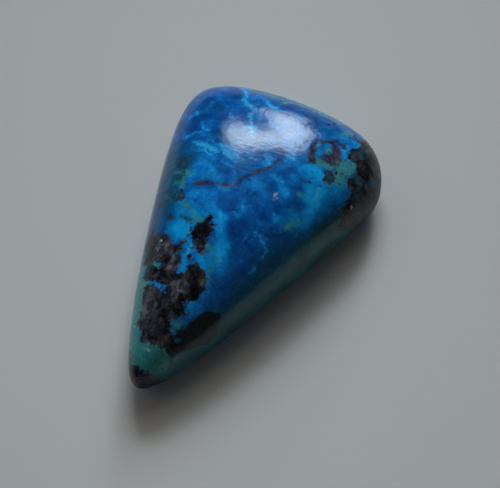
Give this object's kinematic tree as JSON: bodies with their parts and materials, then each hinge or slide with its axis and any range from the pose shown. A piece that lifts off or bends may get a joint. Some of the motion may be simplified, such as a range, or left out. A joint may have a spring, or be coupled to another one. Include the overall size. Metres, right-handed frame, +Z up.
{
  "type": "shattuckite polished stone",
  "caption": "Polished free-form stone of blue and green copper minerals with dark matrix, triangular and domed, lying on its flat base.",
  "frame": {"origin": "on the flat base, under the middle of the outline's box", "axes": "+Y along the stone from its thin tip to its broad end, +Z up out of the domed face, +X across"},
  "size_m": [0.0276, 0.044, 0.0105],
  "materials": {
    "polished_stone": "polished"
  },
  "bodies": {
    "root": {"stone": "polished_stone"}
  },
  "joints": []
}
